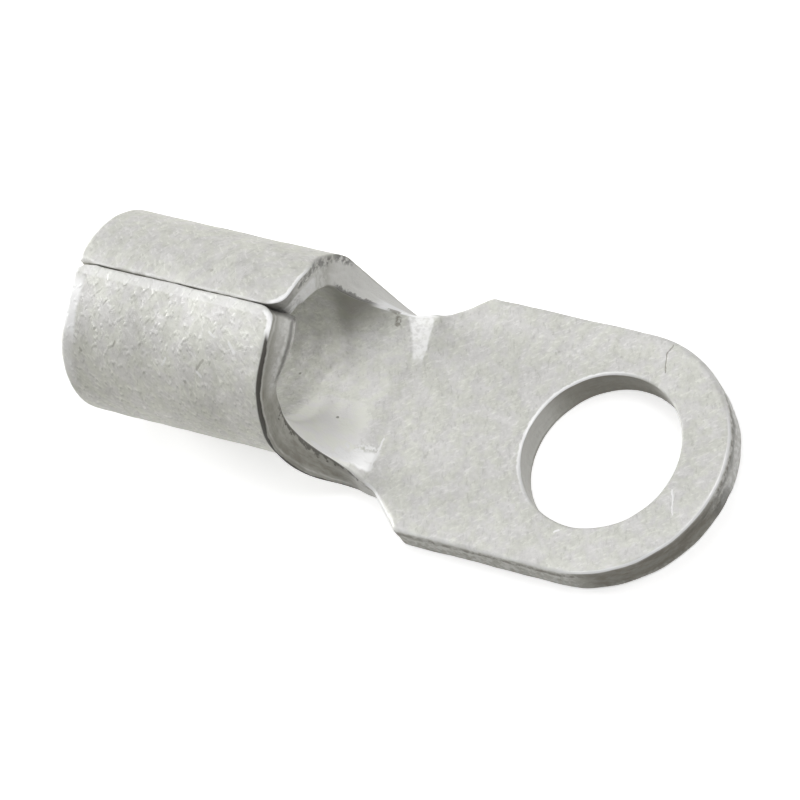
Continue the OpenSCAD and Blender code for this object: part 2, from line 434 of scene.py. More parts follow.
def outer_edge(blank, stations, side):
    """Roundings and wall of the outer edge, as profile takes them. The upper rounding is worn
    unevenly, larger at the near shoulder and tight where the sheet is formed. The lower one is
    blunter there, tight at the seam, and grows at the wire end, most at the bevel on its near side.
    The wall is smooth near the top and torn below, with a shallow groove where it starts to tear;
    at the ring's tip the torn part is stepped. At s = 0 both halves give the same edge, so that
    they close."""
    z = blank.sizes
    here = stations[:, :2] * [1, side]
    worn = swell(here, 11, 1.2 * MM, 7 * MM)
    x, s = here.T
    barrel = step(-x, -blank.mouth_x - 0.8 * MM, -blank.mouth_x)
    rear = step(blank.rear_x + 0.5 * MM - x, -0.45 * MM, 0.1 * MM)
    # near is the half on the camera's side, where s is negative
    near, across = side < 0, np.abs(s)
    butt = step(across, blank.seam_s - 0.5 * MM, blank.seam_s - 0.05 * MM) * barrel * (1 - rear)
    bevel = np.exp(-(((s + 8.8 * MM) / (1.1 * MM)) ** 2)) * rear
    formed = step(blank.bend_x - x, *((0.5 * MM, 1.5 * MM) if near else (-0.5 * MM, 0.3 * MM)))
    rolled = step(-x, 6.3 * MM, 7.2 * MM) * step(-s, 0.0, 2.0 * MM) * 0.5
    top_r = z.rim_r * ((1 + 0.22 * worn + rolled) * (1 - 0.7 * formed))
    blunt = 0.35 * (formed if near else step(across, 6.6 * MM, 7.6 * MM))
    low_r = z.rim_r * (0.85 + 0.15 * worn + blunt - 0.7 * butt)
    low_r = low_r + rear * (0.6 * z.entry_r - low_r) + bevel * 0.6 * z.entry_r
    bearing = np.arctan2(s, x)
    tear = (0.10 + 0.12 * swell(here, 12, 0.8 * MM, 5 * MM)) * MM
    lower_band = step(bearing, -0.015, 0.015) * (1 - step(bearing, 0.45, 0.75))
    fine = swell(here, 13, 0.12 * MM, 0.7 * MM, 24)
    # the blank's corners at the seam are round on the outer face and nearly square on the inner,
    # and the far one at the wire end is nearly square through the whole sheet
    turned = stations[:, 3]
    seam_corner = (across > blank.wing_half) & (turned > 0)
    at_lip = (x > blank.mouth_x - z.neck_corner_r) & seam_corner
    at_toe = (x < blank.rear_x + z.wire_corner_r) & seam_corner
    cosine, sine = np.sqrt(np.clip(1 - turned**2, 0, 1)), np.clip(turned, 0, 1)

    def squarer(power, radius, where):
        """How far a corner of another squareness lies outside the round one."""
        return radius * ((cosine**power + sine**power) ** (-1 / power) - 1) * where

    lip = squarer(7.0, z.neck_corner_r, at_lip)
    toe = squarer(2.0 if near else 6.0, z.wire_corner_r, at_toe)
    gap = butt * 0.002 * MM * swell(here, 14, 0.2 * MM, 2.5 * MM)
    # the punch left the neck a little fuller on the far side, and the wings slimmer behind it
    full = step(-x, 7.6 * MM, 8.4 * MM) * (1 - step(-x, 8.9 * MM, 9.3 * MM))
    full = full * (0.0 if near else 0.09 * MM)
    ahead = step(x, blank.mouth_x - 1.5 * MM, blank.mouth_x - 0.5 * MM)
    slim = ahead * step(-x, 9.0 * MM, 9.6 * MM) * (1 - step(across, 4.3 * MM, 5.2 * MM)) * -0.12 * MM
    swollen = ahead * step(-x, 9.4 * MM, 10.4 * MM) * (0.0 if near else 0.06 * MM)
    bulge = swollen * np.exp(-(((across - 5.7 * MM) / (0.9 * MM)) ** 2))

    def lean(height):
        inner = step(height, -0.8 * blank.half_t, 0.8 * blank.half_t)
        outer = (1 - inner) * bulge[:, None]
        return lip[:, None] * inner + (gap + toe + full + slim)[:, None] + outer

    def wall(height):
        below = step(tear[:, None] - height, -0.05 * MM, 0.05 * MM)
        groove = np.exp(-(((height - tear[:, None]) / (0.07 * MM)) ** 2))
        torn = below * (-0.025 + 0.012 * fine[:, None] + 0.075 * lower_band[:, None])
        bulk = 1 - (np.abs(height) / blank.half_t) ** 6
        return bulk * (torn - 0.03 * groove * (0.6 + 0.4 * worn[:, None])) * MM

    return top_r, low_r, wall, lean


def hole_edge(blank, stations, side):
    """Roundings and wall of the stud hole: drawn in at the top by the punch, torn below."""
    here = stations[:, :2] * [1, side]
    worn = swell(here, 21, 1.2 * MM, 6 * MM)
    top_r = blank.sizes.rim_r * (0.6 + 0.12 * worn)
    low_r = blank.sizes.rim_r * (0.6 + 0.15 * worn)
    tear = (0.05 + 0.1 * swell(here, 22, 0.8 * MM, 4 * MM)) * MM
    fine = swell(here, 23, 0.12 * MM, 0.6 * MM, 24)

    def wall(height):
        below = step(tear[:, None] - height, -0.06 * MM, 0.06 * MM)
        bulk = 1 - (np.abs(height) / blank.half_t) ** 6
        return bulk * below * (-0.02 + 0.012 * fine[:, None]) * MM

    return top_r, low_r, wall, lambda height: 0 * height


def uneven(points, half_t):
    """Lifts the two faces of the sheet by a few micrometres, each in its own way, as rolled and
    stamped sheet is never quite flat."""

    def waves(long_waves, seed):
        """Long waves of the height given, in millimetres, and short low ones on them."""
        short_waves = 0.004 * swell(points, seed + 1, 0.5 * MM, 1.2 * MM)
        return long_waves * swell(points, seed, 1.6 * MM, 7 * MM) + short_waves

    upper, lower = waves(0.008, 31), waves(0.009, 33)
    part = np.clip(points[:, 2] / half_t, -1, 1)
    lift = np.maximum(part, 0) * upper - np.maximum(-part, 0) * lower
    return points + np.outer(lift * MM, [0, 0, 1])


def drawn_lips(points, blank):
    """How far rolling has squeezed the front of the two lips out, as a shift in space: forward
    along x near the seam, most at the inner face, differently on the two sides, and fading back
    along the barrel. The inner corners also lie towards the far side."""
    x, s, n = points.T
    up, near = np.abs(s) / MM, s < 0
    inward = step(n / blank.half_t, -1.0, 1.0)
    back = 1 - step(blank.mouth_x - x, 0, 1.8 * MM)
    outer = 0.05 + np.where(near, 0.11 * step(up, 7.4, 8.8), 0.26 * step(up, 7.8, 8.8))
    inner = np.where(near, 0.52 * step(up, 6.8, 9.2), 0.13 * step(up, 6.7, 7.6))
    inner = inner - np.where(near, 0.2, 0.1) * step(up, 9.3, 10.2)
    forward = 0.2 * step(up, 4.8, 6.2) + (outer + (inner - outer) * inward) * step(up, 5.6, 6.8)
    across = 0.33 * inward * step(up, 9.0, 9.9)
    return np.stack([forward, across, 0 * up], 1) * back[:, None] * MM


def off_centre(points):
    """The blank sat a little to one side in the forming die: a shift in space of the shoulders, the
    neck and the wings towards the far side, fading out before the barrel."""
    back = -points[:, 0]
    shift = 0.09 * MM * step(back, 6.8 * MM, 7.1 * MM) * (1 - step(back, 10.0 * MM, 11.6 * MM))
    return np.outer(shift, [0, 1, 0])


def new_mesh(name, points, quads):
    """A mesh object from whole arrays of points and four-sided faces, shaded smooth."""
    mesh = bpy.data.meshes.new(name)
    mesh.vertices.add(len(points))
    mesh.vertices.foreach_set("co", points.ravel())
    mesh.loops.add(quads.size)
    mesh.loops.foreach_set("vertex_index", quads.ravel())
    mesh.polygons.add(len(quads))
    mesh.polygons.foreach_set("loop_start", np.arange(0, quads.size, 4))
    mesh.polygons.foreach_set("use_smooth", np.ones(len(quads), bool))
    mesh.update(calc_edges=True)
    if mesh.validate():
        raise RuntimeError(f"the mesh of {name} had faults")
    piece = bpy.data.objects.new(name, mesh)
    bpy.context.scene.collection.objects.link(piece)
    return piece


def attach(mesh, name, values):
    """Stores a vector for every point of a mesh, for the material to read."""
    layer = mesh.attributes.new(name, "FLOAT_VECTOR", "POINT")
    layer.data.foreach_set("vector", np.ascontiguousarray(values, dtype=np.float32).ravel())


class Field:
    """A socket of the material being built. Arithmetic on it adds Math nodes."""

    def __init__(self, nodes, socket):
        self.nodes, self.socket = nodes, socket

    def _maths(self, operation, *values):
        return self.nodes.add("ShaderNodeMath", {"operation": operation}, dict(enumerate(values)))

    def __add__(self, other):
        return self._maths("ADD", self, other)

    def __radd__(self, other):
        return self._maths("ADD", other, self)

    def __sub__(self, other):
        return self._maths("SUBTRACT", self, other)

    def __rsub__(self, other):
        return self._maths("SUBTRACT", other, self)

    def __mul__(self, other):
        return self._maths("MULTIPLY", self, other)

    def __rmul__(self, other):
        return self._maths("MULTIPLY", other, self)

    def __pow__(self, other):
        return self._maths("POWER", self, other)

    def __abs__(self):
        return self._maths("ABSOLUTE", self)

    def root(self):
        return self._maths("SQRT", self)

    def most(self, other):
        """The larger of two values."""
        return self._maths("MAXIMUM", self, other)

    def held(self, low, high):
        """The value, kept from leaving the range."""
        return self.nodes.add("ShaderNodeClamp", None, {0: self, 1: low, 2: high})

    def below(self, edge, softness):
        """1 where the value is under the edge, falling to 0 over the softness round it."""
        return self.ramp(edge + softness, edge - softness)

    def above(self, edge, softness):
        """1 where the value is over the edge, falling to 0 over the softness round it."""
        return self.ramp(edge - softness, edge + softness)

    def between(self, low, high, softness):
        """1 from low to high, falling to 0 over the softness at both."""
        return self.above(low, softness) * self.below(high, softness)

    def ramp(self, none, full):
        """0 at the value none, 1 at the value full, smooth between."""
        settings = {"interpolation_type": "SMOOTHSTEP"}
        return self.nodes.add("ShaderNodeMapRange", settings, {0: self, 1: none, 2: full})


class Nodes:
    """The node tree of one material, built from Python expressions."""

    def __init__(self, tree):
        self.tree = tree
        tree.nodes.clear()

    def add(self, kind, settings=None, values=None, output=0):
        """Adds a node of a kind: its settings first, then the values or links of its sockets, by
        index or name. Gives the output asked for."""
        node = self.tree.nodes.new(kind)
        for name, value in (settings or {}).items():
            setattr(node, name, value)
        for key, value in (values or {}).items():
            if isinstance(value, Field):
                self.tree.links.new(value.socket, node.inputs[key])
            else:
                node.inputs[key].default_value = value
        return Field(self, node.outputs[output]) if node.outputs else None

    def mix(self, factor, first, second, blend="MIX"):
        """Mixes two colours; sockets 6 and 7 are the Mix node's colours, output 2 its result."""
        first, second = (tuple(c) + (1.0,) if not isinstance(c, Field) else c for c in (first, second))
        settings = {"data_type": "RGBA", "blend_type": blend, "clamp_factor": True}
        return self.add("ShaderNodeMix", settings, {0: factor, 6: first, 7: second}, 2)

    def noise(self, place, scale, detail=2.0, roughness=0.5, output=0):
        """Noise from 0 to 1 with so many waves a millimetre; output 1 is three of them at once."""
        values = {"Vector": place, "Scale": scale, "Detail": detail, "Roughness": roughness}
        return self.add("ShaderNodeTexNoise", None, values, output)

    def vector(self, operation, values, output=0):
        """A Vector Math node; output 1 is a number, such as a distance."""
        return self.add("ShaderNodeVectorMath", {"operation": operation}, values, output)

    def strokes(self, at, face, lines):
        """Soft straight marks on one face of the sheet: 1 by the line from start to end, and 0
        from its width on. The nearest point of the line is start + way * (past . way), held
        between its ends."""
        marks = []
        for x, s, to_x, to_s, width in lines:
            way = Vector((to_x - x, to_s - s, 0.0))
            past = self.vector("SUBTRACT", {0: at.shaken, 1: (x, s, face)})
            along = self.vector("DOT_PRODUCT", {0: past, 1: way.normalized()}, 1).held(0.0, way.length)
            nearest = self.vector("SCALE", {0: way.normalized(), 3: along})
            marks.append(self.vector("DISTANCE", {0: past, 1: nearest}, 1).ramp(width, 0.4 * width))
        return self.strongest(*marks)

    def strongest(self, first, *others):
        """The largest of several marks at each place."""
        for mark in others:
            first = first.most(mark)
        return first

    def placed(self, place, scale=(1, 1, 1), turn=0.0, shift=(0, 0, 0)):
        """A pattern's place, shifted, turned about the sheet's normal and stretched."""
        values = {"Vector": place, "Location": shift, "Rotation": (0, 0, turn), "Scale": scale}
        return self.add("ShaderNodeMapping", {"vector_type": "TEXTURE"}, values)

    def parts(self, vector):
        """The three numbers of a vector."""
        split = self.add("ShaderNodeSeparateXYZ", None, {0: vector})
        outputs = split.socket.node.outputs
        return [Field(self, outputs[i]) for i in range(3)]


class Where:
    """Where a point of the terminal lies, in millimetres on the flat blank, and how much of it is
    sheared wall or rounded rim. brink grows from 0 on the face to 1 at the sheared edge. near is
    the camera's side of the middle line, outer the underside and the barrel's outside, formed all
    that lies behind the bend line, and front the part of it up to just behind the barrel's mouth.
    shaken is the place pushed about a little, and wobble and crumbs are noise, for ragged marks."""

    def __init__(self, nodes, blank):
        self.sheet = nodes.add("ShaderNodeAttribute", {"attribute_name": "sheet"}, None, "Vector")
        edge = nodes.add("ShaderNodeAttribute", {"attribute_name": "edge"}, None, "Vector")
        self.x, self.s, self.n = nodes.parts(self.sheet)
        self.wall, self.rim, self.brink = nodes.parts(edge)
        self.across = abs(self.s)
        self.near, self.far = self.s.below(0.0, 0.05), self.s.above(0.0, 0.05)
        self.outer, self.inner = self.n.below(0.0, 0.1), self.n.above(0.0, 0.1)
        self.face = blank.half_t / MM
        self.mouth = blank.mouth_x / MM
        self.hole = (self.x ** 2 + self.s ** 2).root().below(4.15, 0.05)
        self.off_hole = 1 - self.hole
        three = nodes.noise(self.sheet, 2.4, 3.0, 0.6, 1)
        shake = nodes.vector("SUBTRACT", {0: three, 1: (0.5, 0.5, 0.5)})
        self.shaken = nodes.vector("MULTIPLY_ADD", {0: shake, 1: (0.2, 0.2, 0.0), 2: self.sheet})
        self.wobble = nodes.noise(self.sheet, 1.9, 3.0, 0.6) - 0.5
        self.crumbs = nodes.noise(self.sheet, 5.0, 3.0, 0.6)
        self.formed = self.x.below(-8.9, 0.3)
        self.flat = 1 - self.formed
        self.front = self.formed * self.x.above(self.mouth - 1.1, 0.2)


def plating(nodes, at, finish):
    """The plated faces: grain, mottling and clouds; crumbly pimples, strongest on the near side of the
    barrel, raised in the bump and given a painted lit side and a painted shaded side in the colour;
    a warmer underside; a painted light on the tongue by the bend, growing towards its near side; and
    the trough, with painted light on its floor and painted shade under the far wing and a little in
    the barrel's mouth. Gives colour, height and the mask of the painted light on the trough's floor."""
    grain = nodes.noise(at.sheet, 5.5, 4.0, 0.6)
    mottle = nodes.noise(at.sheet, 1.9, 4.0, 0.6)
    cloud = nodes.noise(at.sheet, 0.28, 3.0, 0.55)
    barrel_side = at.x.below(at.mouth - 0.2, 0.4) * at.s.below(-1.2, 0.8) * at.outer
    tone = 0.46 + 0.5 * (grain - 0.5) + 0.55 * (mottle - 0.5)
    tone = tone + (0.35 + 0.5 * barrel_side) * (cloud - 0.5)
    light_fleck = nodes.noise(nodes.placed(at.sheet, (1, 0.4, 1), 0.7), 3.9, 2.0).above(0.62, 0.06)
    dark_fleck = nodes.noise(nodes.placed(at.sheet, (0.4, 1, 1), 0.4), 3.7, 2.0).above(0.64, 0.06)

    pimply = 0.25 + 0.75 * barrel_side
    # painted light and shade: each pimple gets a lighter patch (lit) and a darker copy shifted beside it
    # (shaded), as if lit from one side; the same pattern also raises the bump below
    lit = nodes.noise(at.sheet, 4.6, 2.0, 0.55).above(0.62, 0.09)
    shaded = nodes.noise(nodes.placed(at.sheet, shift=(0.02, 0.09, 0)), 4.6, 2.0, 0.55).above(0.62, 0.09)
    relief = (lit - shaded * (1 - lit)) * pimply
    trough = at.inner * at.x.below(-8.95, 0.12) * at.x.above(at.mouth - 0.8, 0.5)
    # painted shade: shade darkens the trough's inner face under the far wing, and deep darkens it a
    # little in the barrel's mouth, in the trough shade colour
    shade = (at.s - 0.7 * at.x).ramp(10.1, 12.2) * at.x.between(at.mouth - 0.4, -9.9, 0.6) * 0.9
    deep = at.s.between(0.2, 3.4, 1.1) * at.x.between(-12.9, -11.8, 0.8) * 0.18
    dim = at.inner * shade.most(deep)
    # painted light: the tongue lighter by the bend, more so towards its near side
    bright_side = at.inner * at.x.above(-9.0, 0.3) * at.s.below(0.0, 4.0)
    # painted light on the trough's floor, growing back from the bend line and towards the near side; it
    # also lowers the roughness there
    floor = trough * at.s.below(2.4, 0.9) * (0.5 + 0.5 * at.s.below(-1.0, 0.7)) * at.x.ramp(-8.9, -10.4)
    tone = tone + 0.22 * relief + 0.17 * light_fleck - 0.15 * dark_fleck
    tone = tone + 0.85 * floor + 0.10 * bright_side
    tin = nodes.mix(dim, nodes.mix(tone, finish.dark_tin, finish.light_tin), finish.trough_shade)
    hue = nodes.noise(at.sheet, 1.8, 3.0).ramp(0.38, 0.62)
    tin = nodes.mix(1.0, tin, nodes.mix(hue, (0.995, 1.0, 0.965), (0.995, 0.985, 1.0)), "MULTIPLY")
    under = at.across.below(7.6, 2.2) * at.outer * at.x.below(-9.5, 1.0)
    tin = nodes.mix(under * 0.8, tin, (1.0, 0.995, 0.94), "MULTIPLY")
    height = grain * 0.9 + mottle * 0.7 + relief * 0.45
    return tin, height, floor


def walls(nodes, at, finish):
    """The sheared walls: mottled; darker on the near wing and round the ring's lower side, painted shade
    on walls turned from the lamps, at the stud hole's far side, with a painted shadow under the upper
    rim, and at the wall's foot; paler on the far wing and on the inner band of the near lip, painted
    light where they face the lamps, on the ring's tip and away from the stud hole's far side, painted
    light on walls that face the front, and on the far lip, along the near wing's foot, by the neck and
    on the near straight side. Gives colour and height."""
    torn = nodes.noise(at.sheet, 3.2, 5.0, 0.7)
    along = nodes.noise(nodes.placed(at.sheet, (3.0, 3.0, 0.5)), 1.6, 3.0, 0.6)
    tone = 0.5 + 1.3 * (torn - 0.5) + 1.5 * (along - 0.5)
    cut = nodes.mix(tone, finish.sheared, finish.smeared)

    blotches = at.crumbs.ramp(0.40, 0.58)
    # painted light: the ring's tip, a wall that faces the front, paler
    tip = at.x.above(0.6, 0.8) * (at.s + 2.0 * at.wobble).above(-0.6, 0.9) * at.off_hole
    tip = tip * (1.0 - 0.45 * blotches)
    low_rim = at.n.below(-0.40, 0.1) * at.x.above(0.6, 0.8) * at.off_hole * (0.1 + 0.6 * blotches)
    lips = at.front * at.x.below(at.mouth + 0.6, 0.3) * at.across.ramp(6.6, 7.8)
    far_lip = lips * at.far * (1.0 - 0.45 * blotches)
    # painted light on the near lip's inner band, where its face tilts up
    near_lip = lips * at.near * (at.n - 0.1 * at.s).ramp(0.55, 1.05) * (0.8 - 0.3 * blotches)
    # painted light: the far wing's wall, which faces the lamps, paler
    far_wing = at.front * at.far * at.across.below(7.0, 0.6) * at.n.above(-0.56, 0.08) * 0.85
    near_neck = at.x.between(-9.6, -8.0, 0.5) * at.near * 0.5
    # painted light: the stud hole's walls paler except on its far side
    hole_low = at.hole * at.s.below(1.6, 1.2).most(at.x.above(1.4, 1.0)) * 0.55
    straight = at.x.ramp(-8.3, -7.5) * at.x.below(1.5, 1.0) * at.near * at.off_hole
    straight = straight * 0.45 * (1 - blotches)
    near_foot = at.front * at.near * (at.n + 0.16 * at.wobble).between(-0.42, -0.34, 0.04) * 0.5
    pale = (tip, near_foot, far_lip * 0.75, near_lip, far_wing, near_neck, hole_low, straight)
    cut = nodes.mix(nodes.strongest(*pale), cut, finish.pale_and_lit_wall)

    patches = nodes.noise(nodes.placed(at.sheet, (1.6, 1.6, 0.7)), 1.9, 4.0, 0.65).ramp(0.38, 0.62)
    # painted shade: the near wing's wall, turned from the lamps, darker
    near_wing = at.near * at.x.between(at.mouth - 0.2, -9.6, 0.4) * at.across.below(9.4, 0.4)
    near_wing = near_wing * (0.12 + 0.5 * patches) * at.x.above(at.mouth + 0.1, 0.4).most(0.6)
    near_wing = near_wing * (1 - 0.8 * near_lip)
    # painted shade: the ring's lower side, turned from the lamps, darker
    ring_low = at.x.above(1.2, 0.8) * (at.s + 2.0 * at.wobble).below(-0.8, 0.8) * at.off_hole
    ring_low = ring_low * (0.65 + 0.35 * patches) * (1 - low_rim)
    # painted shadow under the upper rim of the walls of the flat part
    under_rim = at.n.between(0.26, 0.48, 0.06) * at.flat * at.off_hole * (0.3 + 0.5 * blotches)
    foot = at.n.below(-0.52, 0.06) * at.flat * 0.5
    hole_top = at.hole * at.s.above(1.8, 0.8) * at.x.below(1.2, 1.0) * 0.65
    brown_and_shade = nodes.strongest(near_wing, ring_low, under_rim, foot, hole_top)
    cut = nodes.mix(brown_and_shade, cut, finish.brown_and_shade)
    return cut, torn * 3.0 + along * 1.5


def edge_lines(nodes, at):
    """Dark lines and crumbly bands along the sheared walls of the wings and lips: painted shade on the
    near lip's outer rounding, a painted shadow along its inner edge, painted shade in the notch
    between the lips at the seam, and dark lines where the wings' walls meet the trough. Also the torn
    line round the ring's tip and a thin scratch along the barrel's far side."""
    level = at.n + 0.16 * at.wobble
    ragged = at.n + 0.5 * (at.crumbs - 0.5) * (0.9 + at.near)
    cut = at.wall.above(0.35, 0.1) * at.front
    wide = 0.10 * at.across.between(5.8, 9.3, 0.5)
    # painted shade: a dark line on the near lip's outer rounding, which turns from the lamps
    shadowed = at.near * at.front * (level - wide).below(-0.55, 0.03) * at.brink.above(0.70, 0.07)
    shadowed = shadowed * at.across.below(9.45, 0.12) * at.x.below(-9.6, 0.5)
    # painted shadow along the near lip's inner edge
    lip = at.near * at.across.above(7.7, 0.4) * abs(level - 0.44).below(0.08, 0.06) * 0.6
    wings = at.across.between(3.2, 6.2, 0.4)
    serrated = wings * ragged.above(0.50, 0.06).most(level.above(0.57, 0.05)) * 0.7
    crumbly = nodes.noise(at.sheet, 4.2, 3.0, 0.6).ramp(0.40, 0.56)
    far_lip = at.far * at.across.between(6.9, 9.6, 0.3) * level.between(-0.52, -0.16, 0.1) * crumbly * 0.6
    corner = at.far * at.across.between(5.6, 6.9, 0.4) * level.below(-0.32, 0.1) * crumbly * 0.7
    # painted shade in the notch between the lips at the seam
    notch = (at.s.above(9.6, 0.35) * 0.45).most(at.s.below(-10.1, 0.08) * 0.7)
    notch = notch * at.x.above(at.mouth - 1.2, 0.3)
    tip = at.n.between(0.12, 0.30, 0.06) * at.x.above(3.4, 0.8) * at.s.above(-2.2, 0.8) * at.wall * 0.4
    jagged = ragged.below(-0.02, 0.08) * at.x.above(4.8, 0.1) * at.s.between(-1.1, 0.1, 0.3)
    jagged = jagged * at.wall * 0.5
    scuffed = at.x.between(-17.2, -15.0, 0.6).most(at.x.between(-19.4, -19.2, 0.3)) * at.outer
    scratch = abs(at.s - 0.012 * at.x - 6.78 - 0.2 * at.wobble).ramp(0.16, 0.0) * scuffed * 0.8
    on_walls = cut * nodes.strongest(lip, serrated, far_lip, corner, notch)
    return nodes.strongest(shadowed, scratch, tip, jagged, on_walls)


def worn_and_highlit_rims(nodes, at):
    """Bright rims: a little wear on all but those of the lips, wings and stud hole, and painted
    highlights on the roundings, strongly along the ring's near and lower side, on the neck's side of
    the stud hole, at the near shoulder, inside the far wing, outside the far lip, at the near lip's
    corner, along the seam and at the bevel of the wire end."""
    patchy = nodes.noise(at.sheet, 1.3, 3.0, 0.6)
    inside_wings = at.formed * at.inner
    front = at.x.between(at.mouth - 0.9, -8.9, 0.2)
    usual = at.rim * patchy.ramp(0.35, 0.6) * (1 - inside_wings) * (1 - front)
    usual = usual * at.off_hole * (0.25 + 0.35 * at.formed)
    # from here on, painted highlights on the roundings
    ragged = at.brink + 0.35 * (at.crumbs - 0.5)
    outline = at.inner * at.flat * (1 - at.wall.above(0.8, 0.1))
    lower_right = at.s.below(2.6, 1.2) * (0.35 + 0.65 * at.x.above(0.8, 1.0))
    ring_low = at.off_hole * (1 - at.wall.above(0.72, 0.1)) * at.brink.above(0.79, 0.05)
    ring_low = ring_low * outline * lower_right * patchy.ramp(0.1, 0.4)
    hole_left = outline * at.hole * (0.4 * at.s - at.x).above(1.2, 1.0) * ragged.above(0.74, 0.08)
    lips = at.outer * at.x.above(at.mouth - 0.55, 0.12) * at.x.below(at.mouth + 0.4, 0.2)
    lips = lips * (1 - at.wall.above(0.75, 0.1))
    far_lip = lips * at.far * at.across.above(8.6, 0.5) * ragged.above(0.64, 0.08)
    near_lip = lips * at.near * at.across.between(9.35, 10.1, 0.15) * ragged.above(0.55, 0.08)
    seam = at.outer * at.near * at.across.above(9.9, 0.05) * at.x.below(at.mouth - 0.6, 0.3) * 0.35
    near_shoulder = outline * at.x.between(-8.9, -7.2, 0.2) * at.near * at.brink.above(0.70, 0.06) * 0.8
    far_wing = at.inner * at.x.between(-10.9, -8.8, 0.2) * at.far * at.brink.above(0.74, 0.06) * at.formed
    bevel = at.outer * at.x.below(-20.05, 0.1) * at.s.between(-9.7, -7.9, 0.35)
    low_bevel = at.outer * at.x.below(-20.2, 0.15) * at.s.between(-8.2, -6.2, 0.6) * 0.3
    rims = (ring_low, hole_left, far_lip, near_lip, seam, near_shoulder, far_wing, bevel, low_bevel)
    return nodes.strongest(usual, *rims)


def highlights_and_bright_marks(nodes, at):
    """Bright places: painted highlights behind the bend line at both ends, where the bent sheet turns
    to the lamps, painted glints on dashes and pimples of the barrel, and two light marks on the ring
    and the tongue. Each mark is x, s of its start and end, and its width, in millimetres."""
    # painted highlights behind the bend line on the near side and along its crease; the last two marks
    # are light marks on the ring and the tongue
    trough = ((-8.95, -2.6, -9.6, -2.9, 0.30), (-8.95, -3.0, -10.1, -3.1, 0.26),
              (-8.82, -1.7, -8.84, -3.05, 0.06), (3.45, -0.85, 3.90, -1.8, 0.035),
              (-0.35, -3.6, -0.25, -3.45, 0.05))
    # painted highlight broken into flecks by the near bend
    flecks = ((-9.6, -3.15, -10.9, -3.75, 0.16), (-8.95, -2.3, -9.9, -2.6, 0.30))
    # painted glints on dashes of the barrel and a painted highlight on its bump
    barrel = ((-13.05, -8.8, -12.85, -8.55, 0.07), (-13.95, -9.0, -13.7, -8.9, 0.06),
              (-15.9, -7.65, -15.75, -7.85, 0.07), (-14.3, -7.65, -14.1, -7.55, 0.06),
              (-16.1, -9.9, -16.1, -9.9, 0.10))
    x, s, _ = nodes.parts(at.shaken)
    # painted highlight: a wedge behind the bend line on the far side
    from_bend, from_trough = -8.97 + 0.14 * (3.6 - s) - x, x + 9.73 - 0.41 * (3.25 - s)
    wedge = from_bend.above(0.0, 0.05) * from_trough.above(0.0, 0.08) * s.above(1.7, 0.2) * at.inner
    wedge = wedge * (0.45 + 0.35 * at.crumbs.ramp(0.40, 0.56))
    broken = nodes.strokes(at, at.face, flecks) * at.crumbs.ramp(0.42, 0.55)
    marks, barrel_marks = nodes.strokes(at, at.face, trough), nodes.strokes(at, -at.face, barrel)
    return nodes.strongest(wedge, broken, marks, barrel_marks * 0.6)


def dark_spots(nodes, at):
    """Dark pits, dashes and crumbs, and a painted shadow beside a bump on the barrel, as x, s of the
    start and end and the width, in millimetres.
    """
    trough = ((-11.0, -1.6, -11.0, -1.6, 0.09), (-13.55, 0.2, -13.55, 0.2, 0.08),
              (1.05, 4.8, 0.95, 4.45, 0.035), (0.95, 4.45, 1.2, 3.65, 0.035))
    crumbs = ((-10.5, 3.8, -10.2, 3.6, 0.14), (-10.15, 3.35, -10.1, 3.1, 0.14))
    barrel = ((-14.05, -8.1, -14.3, -7.75, 0.07), (-18.1, -8.0, -18.15, -7.85, 0.06),
              (-19.8, -7.5, -19.7, -7.4, 0.06), (-14.85, -7.2, -14.85, -7.2, 0.08),
              (-15.35, -6.25, -15.35, -6.25, 0.08), (-14.95, 9.55, -14.95, 9.55, 0.08),
              # painted shadow beside the bump
              (-16.1, -9.75, -16.1, -9.75, 0.05))
    broken = nodes.strokes(at, at.face, crumbs) * at.crumbs.ramp(0.42, 0.52)
    marks, barrel_marks = nodes.strokes(at, at.face, trough), nodes.strokes(at, -at.face, barrel)
    return nodes.strongest(marks, barrel_marks * 0.6, broken)


def tin_material(finish, blank):
    """Matt tin over sheet copper: plated faces, sheared walls with their lines and painted shade, worn
    rims with painted highlights, pits and stains, one over the other."""
    material = bpy.data.materials.new("tin_plate")
    material.use_nodes = True
    nodes = Nodes(material.node_tree)
    at = Where(nodes, blank)
    tin, tin_height, floor = plating(nodes, at, finish)
    cut, cut_height = walls(nodes, at, finish)
    lines = edge_lines(nodes, at)
    bright = nodes.strongest(worn_and_highlit_rims(nodes, at), highlights_and_bright_marks(nodes, at))
    dark = dark_spots(nodes, at)

    base = nodes.mix(at.wall, tin, cut)
    # painted shade in the lines, painted highlights in the bright marks, a painted shadow among the dark
    # spots
    base = nodes.mix(lines, base, finish.stain_and_shade)
    base = nodes.mix(bright, base, finish.worn)
    base = nodes.mix(dark * 0.75, base, finish.brown_and_shade)
    height = tin_height + at.wall * (cut_height - tin_height) - 0.6 * dark - lines + 0.3 * bright
    bump = nodes.add("ShaderNodeBump", None, {"Strength": 1.0, "Distance": RELIEF, "Height": height})
    gloss = finish.roughness + 0.14 * at.wobble + 0.12 * at.wall - 0.06 * floor - 0.14 * bright
    shader = nodes.add("ShaderNodeBsdfPrincipled", None, {
        "Base Color": base, "Metallic": 0.2, "Roughness": gloss, "Normal": bump,
    })
    nodes.add("ShaderNodeOutputMaterial", None, {"Surface": shader})
    return material


